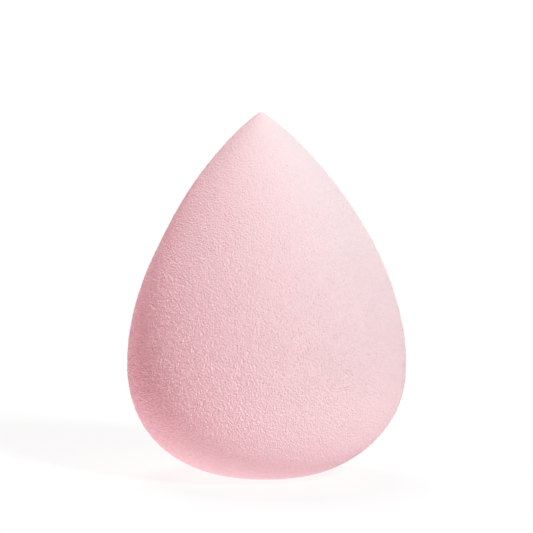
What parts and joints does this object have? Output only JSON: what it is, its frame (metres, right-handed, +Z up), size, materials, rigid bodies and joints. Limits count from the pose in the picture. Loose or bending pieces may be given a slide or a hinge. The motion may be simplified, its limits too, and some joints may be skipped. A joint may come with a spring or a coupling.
{
  "type": "makeup sponge",
  "caption": "Teardrop makeup sponge of soft pink open-cell foam, pointed at the top and rounded at the base, for dabbing and blending make-up on the skin.",
  "frame": {"origin": "centre of the small flat face that the sponge rests on", "axes": "+Z up the sponge's axis, from the rest face to the point; +X to the right and +Y away, as the picture sees it"},
  "size_m": [0.046, 0.046, 0.06],
  "materials": {
    "foam": "dry open-cell polyurethane foam, finely pored"
  },
  "bodies": {
    "root": {"foam_body": "foam"}
  },
  "joints": []
}
